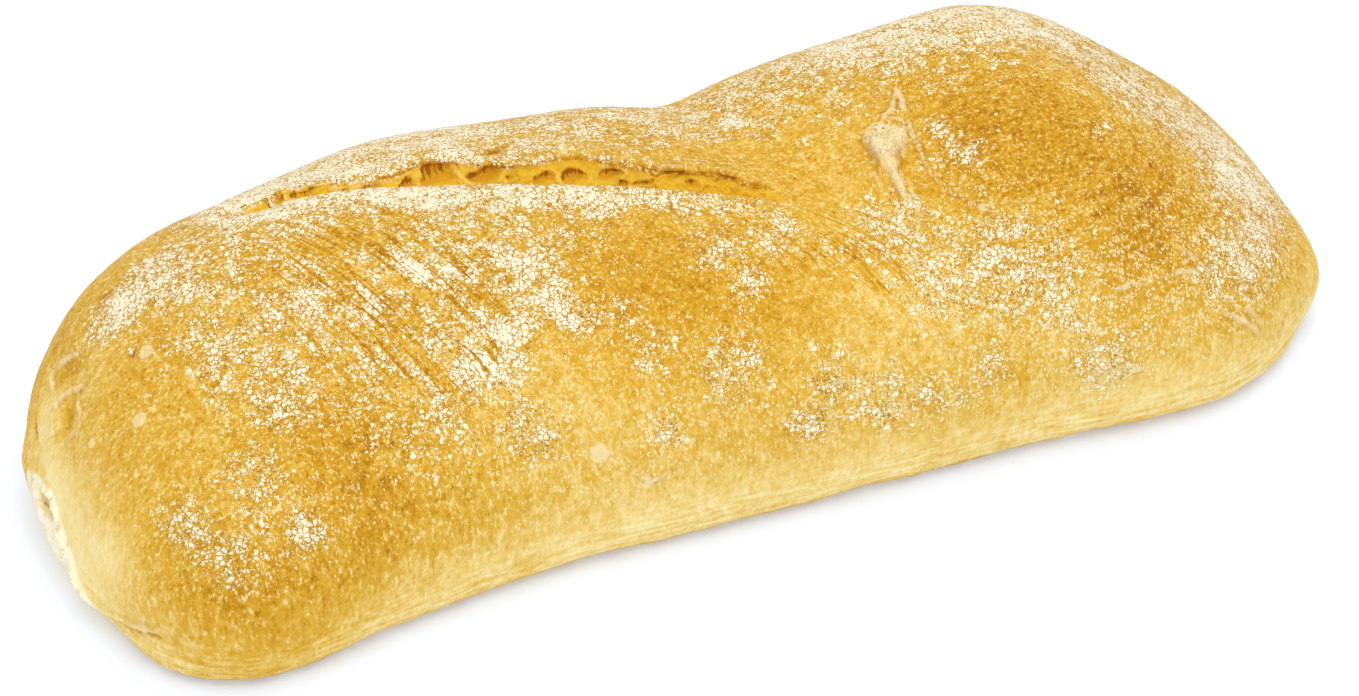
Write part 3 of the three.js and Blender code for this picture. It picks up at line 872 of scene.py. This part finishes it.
def shape_skin(piece):
    """Adds the skin's fine relief to the loaf and keeps the masks that its material reads."""
    mesh = piece.data
    skin = Skin(mesh)
    points = skin.points
    x, y, z = points.T

    # Crumb in the tear
    lip_wavelength, lip_reach = LIP_WARP
    bridge_at, bridge_width = TEAR_BRIDGE
    depth = skin_depth(points) * smooth_step(*TEAR_OPENS, x) * (1 - smooth_step(*TEAR_CLOSES, x))
    depth *= 1 - crest((x - bridge_at) / bridge_width)
    slits = skin.ridges(SLITS)
    depth = np.maximum(depth, slits)
    depth += lip_reach * noise(points / lip_wavelength) * smooth_step(*LIP_DEPTH, depth)
    crumb = smooth_step(*CRUMB_BELOW, depth)
    cells = small_cells(points, crumb)
    pockets, roof_shade, rim = large_pockets(skin, crumb)
    # Strands of crumb, and the pockets' rims, which carry a painted highlight
    strands_and_highlit_rims = np.maximum(np.clip(skin.ridges(STRANDS), 0, 1) * crumb, RIM_STRENGTH * rim)
    beyond = smooth_step(*LIP_BEYOND, y - near_lip(x))
    lip = beyond * (1 - crumb) * np.exp(-(from_crumb(skin, crumb) / LIP_EDGE) ** 2)

    # Stretched skin, folds and blisters
    marks = marks_at(points)
    rings = rings_at(points)
    marked = np.clip(skin.patches(MARKED), 0, 1) * (1 - crumb) * (near_lip(x) > y)
    ringed = np.clip(skin.patches(RINGED), 0, 1) * smooth_step(*RINGS_FROM, rings[:, 0])
    waning_length, waning = LINE_WANING
    uneven = np.clip(1 + waning * noise(points / waning_length), *LINE_RANGE)
    lines = uneven * skin.ridges(LINES)
    # painted shade along the feet of the ridges
    feet = uneven * np.maximum(0, skin.ridges(LINES, moat))
    hollows = skin.ridges(HOLLOWS)
    crease = np.clip(-lines, 0, 1)
    warp_length, warp_reach = BLISTER_WARP
    from_blister = np.linalg.norm((points - skin.settle([BLISTER])) / BLISTER_SQUEEZE, axis=1)
    from_blister += warp_reach * noise(points / warp_length)
    blister = 1 - smooth_step(*BLISTER_RADII, from_blister)
    foot, foot_width, foot_depth = BLISTER_CREASE
    torn = np.clip(skin.ridges(TORN), 0, 1)
    torn_lines = skin.ridges(TORN_LINES)

    relief = marked * streaks(marks, MARKS) + ringed * streaks(rings, RINGS)
    relief += lines + hollows + skin.patches(SPOTS) + waves(points, SKIN_RELIEF)
    relief += blister * (BLISTER_HEIGHT + waves(points, BLISTER_RELIEF))
    relief -= foot_depth * crest((from_blister - foot) / foot_width)
    relief *= smooth_step(*RELIEF_ABOVE, z) * (1 - crumb)
    relief += torn * waves(points, TORN_RELIEF) + torn_lines
    relief += strands_and_highlit_rims * STRAND_HEIGHT - np.maximum(pockets, cells) - SLIT_DEPTH_SHARE * slits
    edge = smooth_step(0, EDGE_HEIGHT[0], z) * (1 - smooth_step(*EDGE_HEIGHT, z))
    relief += edge * waves(points, EDGE_RELIEF)

    # Flour, baking and paleness
    under = smooth_step(*UNDERSIDE, -skin.normals[:, 2])
    flour = FLOUR_EVERYWHERE + skin.patches(FLOURED) + skin.ridges(FLOUR_LINES) + FLOUR_UNDER * under
    flour *= (1 - blister) * (1 - torn)
    flour += BLISTER_FLOUR * blister
    bare = (1 - LIP_BARE * lip) * (1 - crease)
    dust = (flour + DUST_EVERYWHERE + skin.patches(DUSTED)) * bare
    flour *= (1 + waves(points, PATCHES) * (1 - RING_EVENNESS * ringed)) * bare
    # Browning, with painted shade added in the creases and the puckers' hollows
    browning_and_shade = skin.patches(BROWNED) + BROWN_UNDER * under + waves(points, BROADNESS)
    browning_and_shade += CREASE_SHADE_BROWN * crease - HOLLOW_SHADE_BROWN * hollows
    # Pale band round the foot, and a painted highlight along its very edge
    low = PALE_BAND * (1 - smooth_step(*PALE_BELOW, z)) + FOOT_HIGHLIGHT * (1 - smooth_step(*FOOT_HIGHLIGHT_BELOW, z))
    pale = skin.patches(PALED) + low * (1 - under)
    paint(mesh, {
        "flour": np.clip(flour, 0, FLOUR_LIMIT),
        "dust": np.clip(dust * (1 - np.clip(pale - PALE_CLEAN, 0, 1)), 0, FLOUR_LIMIT),
        "browning_and_shade": np.clip(browning_and_shade, *BROWN_RANGE),
        "pale": np.clip(pale, 0, PALE_LIMIT),
        "scorch": np.clip(skin.patches(SCORCHED), 0, 1),
        "spot": np.clip(skin.patches(PALE_SPOTS), 0, 1),
        "torn": torn,
        "hollow": np.maximum(0, -torn_lines),
        "blister": blister,
        "crease": crease,
        "ridge": np.clip(lines, 0, 1),
        "feet": np.clip(feet, 0, 1),
        "lip": lip,
        "crumb": depth,
        "cell": np.maximum(pockets, cells),
        "roof_shade": roof_shade,
        "strands_and_highlit_rims": strands_and_highlit_rims,
        "marks": marks,
        "marked": marked,
        "rings": rings,
        "ringed": ringed,
    })

    moved = points + skin.normals * relief[:, None]
    moved[:, 2] = np.maximum(moved[:, 2], 0)
    mesh.vertices.foreach_set("co", (moved * MM).ravel())
    mesh.polygons.foreach_set("use_smooth", np.ones(len(mesh.polygons), bool))
    mesh.update()


# Material
class Nodes:
    """Makes and links the nodes of one material."""

    def __init__(self, name):
        self.material = bpy.data.materials.new(name)
        self.material.use_nodes = True
        self.tree = self.material.node_tree
        self.shader = self.tree.nodes["Principled BSDF"]

    def feed(self, socket, value):
        """Links a socket to another one, or sets its number."""
        if isinstance(value, bpy.types.NodeSocket):
            self.tree.links.new(value, socket)
        else:
            socket.default_value = value

    def node(self, kind, inputs, **settings):
        made = self.tree.nodes.new("ShaderNode" + kind)
        for name, value in settings.items():
            setattr(made, name, value)
        for name, value in inputs.items():
            self.feed(made.inputs[name], value)
        return made

    def math(self, operation, first, second=0.5, third=0.5):
        return self.node("Math", {0: first, 1: second, 2: third}, operation=operation).outputs[0]

    def times(self, first, second):
        return self.math("MULTIPLY", first, second)

    def total(self, start, *terms):
        """A number plus each value times its share."""
        for value, share in terms:
            start = self.math("MULTIPLY_ADD", value, share, start)
        return start

    def stretched(self, places, factors):
        return self.node("VectorMath", {0: places, 1: factors}, operation="MULTIPLY").outputs[0]

    def attribute(self, name, output="Fac"):
        return self.node("Attribute", {}, attribute_name=name).outputs[output]

    def step(self, value, low, high):
        """0 up to low, 1 from high on, and smooth between. It falls where low is the higher."""
        inputs = {"Value": value, "From Min": low, "From Max": high}
        return self.node("MapRange", inputs, interpolation_type="SMOOTHSTEP").outputs["Result"]

    def mix(self, share, first, second):
        inputs = {"Factor": share, 6: first, 7: second}
        return self.node("Mix", inputs, data_type="RGBA").outputs[2]

    def noise(self, places, wavelength, detail=3, roughness=0.55):
        """Noise round 0, at places in millimetres."""
        inputs = {"Vector": places, "Scale": 1 / wavelength, "Detail": detail, "Roughness": roughness}
        return self.math("SUBTRACT", self.node("TexNoise", inputs).outputs["Fac"], 0.5)

    def cells(self, places, size, feature="F1"):
        return self.node("TexVoronoi", {"Vector": places, "Scale": 1 / size}, feature=feature).outputs

    def coat(self, under, name, mask):
        """A named coat of colour laid over another colour by a mask."""
        begins, full, strength, colour = COATS[name]
        return self.mix(self.times(self.step(mask, begins, full), strength), under, linear(colour))

    def film(self, places, density):
        """A ragged film of flour, cracked into pieces: how thick it is at each place."""
        pieces = self.cells(places, FILM_PIECE)["Color"]
        border = self.cells(places, FILM_PIECE, "DISTANCE_TO_EDGE")["Distance"]
        terms = {
            "covered": self.math("POWER", density, 0.5),
            "piece": self.node("SeparateColor", {"Color": pieces}).outputs[0],
            "broad": self.noise(places, FILM_BROAD * FILM_PIECE, *FILM_NOISE),
            "ragged": self.noise(places, FILM_RAGGED * FILM_PIECE, *FILM_NOISE),
            "crack": self.step(border, *FILM_CRACK),
        }
        return self.total(FILM_BARE, *[(terms[name], share) for name, share in FILM_TERMS.items()])

    def specks(self, places, density, ragged):
        """Small ragged specks of flour: how far inside a speck each place is."""
        cells = self.cells(places, SPECK_SIZE)
        chance = self.node("SeparateColor", {"Color": cells["Color"]}).outputs[0]
        spare = self.total(0, (density, SPECK_CHANCE), (chance, -1))
        inputs = {"Value": spare, "From Min": SPECK_SPARE[0], "From Max": SPECK_SPARE[1]}
        inputs.update({"To Min": SPECK_RADII[0], "To Max": SPECK_RADII[1]})
        radius = self.node("MapRange", inputs).outputs["Result"]
        return self.total(radius, (cells["Distance"], -1), (ragged, SPECK_RAGGED))


def crust_material():
    """Golden crust under flakes of flour, with torn crumb where the skin is open."""
    n = Nodes("crust")
    metres = n.node("TexCoord", {}).outputs["Object"]
    places = n.node("VectorMath", {0: metres, "Scale": 1 / MM}, operation="SCALE").outputs[0]
    wander = n.node("TexNoise", {"Vector": places, "Scale": 1 / FLOUR_WANDER, "Detail": 1}).outputs["Color"]
    moves = {0: wander, 1: (FLOUR_WANDER,) * 3, 2: places}
    bent = n.node("VectorMath", moves, operation="MULTIPLY_ADD").outputs[0]

    # Streaks and grooves that follow the stretched skin
    def streak(name, pitch, length):
        spots = n.stretched(n.attribute(name, "Vector"), (1 / pitch, 1 / length, 1 / length))
        return n.noise(spots, 1, 2)

    lengthwise = [(streak("marks", pitch, length), strength) for pitch, length, strength in STREAKS]
    marks = n.times(n.total(0, *lengthwise), n.attribute("marked"))
    ring_pitch, ring_length, ring_strength = RING_STREAK
    rings = n.times(streak("rings", ring_pitch, ring_length), n.attribute("ringed"))
    drawn = n.total(marks, (rings, ring_strength))
    line = n.math("ABSOLUTE", streak("marks", *GROOVE))
    grooved = n.step(n.attribute("marked"), *GROOVED)
    groove = n.times(n.math("SUBTRACT", 1, n.step(line, *GROOVE_EDGE)), grooved)

    # Crust colour
    hung = n.stretched(places, HANG)
    fine = n.noise(hung, *MOTTLE)
    specked = n.noise(hung, *GRAIN)
    rough = n.total(1, (n.attribute("pale"), -PALE_SMOOTHS))
    grain = n.times(specked, rough)
    mottled = n.times(fine, rough)
    height = n.node("SeparateXYZ", {0: places}).outputs[2]
    low = n.math("SUBTRACT", 1, n.step(height, *BRUSHED_BELOW))
    brushed = n.times(n.noise(n.stretched(places, BRUSH), 1, 2), low)
    causes = {"mottled": mottled, "grain": grain, "drawn": drawn, "groove": groove, "brushed": brushed}
    for name in ("browning_and_shade", "pale", "flour", "lip"):
        causes[name] = n.attribute(name)
    baked = n.total(BAKED, *[(causes[name], share) for name, share in BAKING.items()])
    ramp = n.node("ValToRGB", {"Fac": baked})
    stops = ramp.color_ramp.elements
    while len(stops) < len(CRUST):
        stops.new(0.5)
    for stop, (share, colour) in zip(stops, CRUST):
        stop.position = share
        stop.color = linear(colour)
    crust = ramp.outputs["Color"]
    lump = n.coat(linear(BLISTER_SKIN), "blister hollow", fine)
    crust = n.mix(n.times(n.attribute("blister"), BLISTER_COVER), crust, lump)
    # Painted shade along the ridges' feet
    crust = n.coat(crust, "ridge foot shade", n.attribute("feet"))
    pitted = n.times(n.step(grain, *PITTED), n.step(n.attribute("pale"), *UNPITTED))
    crust = n.mix(n.times(pitted, PIT_COVER), crust, linear(PIT))
    crust = n.coat(crust, "fleck", grain)
    # Crests lightened, partly as flour and partly as a painted highlight
    crust = n.coat(crust, "ridge", n.attribute("ridge"))
    # Painted shade in the creases
    crust = n.coat(crust, "crease", n.attribute("crease"))
    crust = n.coat(crust, "pale spot", n.total(n.attribute("spot"), (fine, SPOT_RAGGED)))
    crust = n.coat(crust, "scorch", n.attribute("scorch"))

    # Flour
    swept = n.total(1, (drawn, SWEPT["drawn"]), (groove, SWEPT["groove"]))
    density = n.times(n.attribute("flour"), swept)
    dust = n.times(n.attribute("dust"), swept)
    specks = n.specks(n.stretched(bent, SPECK_HANG), dust, specked)
    film = n.film(bent, density)
    floured = n.step(film, *FILM_EDGE)
    # Painted shadow round each speck
    crust = n.coat(crust, "speck edge shadow", specks)
    crust = n.coat(crust, "speck", specks)
    # Dark cracks between flour pieces, with painted shade round the pieces' edges
    cracked = n.times(n.step(film, *CRACK_EDGE), n.step(density, *CRACK_DENSITY))
    crust = n.mix(n.times(cracked, CRACK_COVER), crust, linear(CRACK_AND_EDGE_SHADE))
    powder = n.coat(linear(FLOUR_THIN), "thick flour", film)
    crust = n.mix(n.times(floured, FLOUR_COVER), crust, powder)

    # Torn dough and crumb
    dents = n.total(fine, (n.attribute("hollow"), TORN_HOLLOWED))
    dough = n.coat(linear(TORN_DOUGH), "torn shade", dents)
    crust = n.mix(n.step(n.attribute("torn"), *TORN_EDGE), crust, dough)
    # Painted shade: the crumb darkens with the depth of its cells and pockets
    crumb = n.coat(linear(CRUMB), "deep crumb shade", n.attribute("cell"))
    crumb = n.coat(crumb, "crumb grain", specked)
    # Painted shade under the pockets' roofs, streaked along the crumb's fibres
    fibres = n.noise(n.stretched(places, FIBRES), 1, 1)
    crumb = n.coat(crumb, "crumb roof", n.total(n.attribute("roof_shade"), (fibres, FIBRE_STRENGTH)))
    # Pale strands, and a painted highlight on the pockets' rims
    crumb = n.coat(crumb, "strands_and_highlit_rims", n.attribute("strands_and_highlit_rims"))
    shallow = n.times(n.step(n.attribute("crumb"), *SHALLOW), n.step(n.attribute("cell"), *CELL_SHALLOW))
    hidden = n.total(1, (n.times(floured, shallow), -BARE_SHALLOW))
    opened = n.times(n.step(n.attribute("crumb"), *CRUMB_BELOW), hidden)

    n.feed(n.shader.inputs["Base Color"], n.mix(opened, crust, crumb))
    n.feed(n.shader.inputs["Roughness"], n.total(ROUGHNESS, (floured, FLOUR_ROUGHNESS)))
    n.shader.inputs["Specular IOR Level"].default_value = GLOSS

    skin = n.total(grain, (mottled, BUMP_MOTTLE))
    bump = n.node("Bump", {"Strength": BUMP_STRENGTH, "Distance": BUMP_HEIGHT * MM, "Height": skin})
    n.feed(n.shader.inputs["Normal"], bump.outputs["Normal"])
    return n.material


make_camera()
make_studio()
loaf = fine_mesh(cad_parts["loaf"])
shape_skin(loaf)
loaf.data.materials.clear()
loaf.data.materials.append(crust_material())
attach(loaf, "root")
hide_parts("loaf")
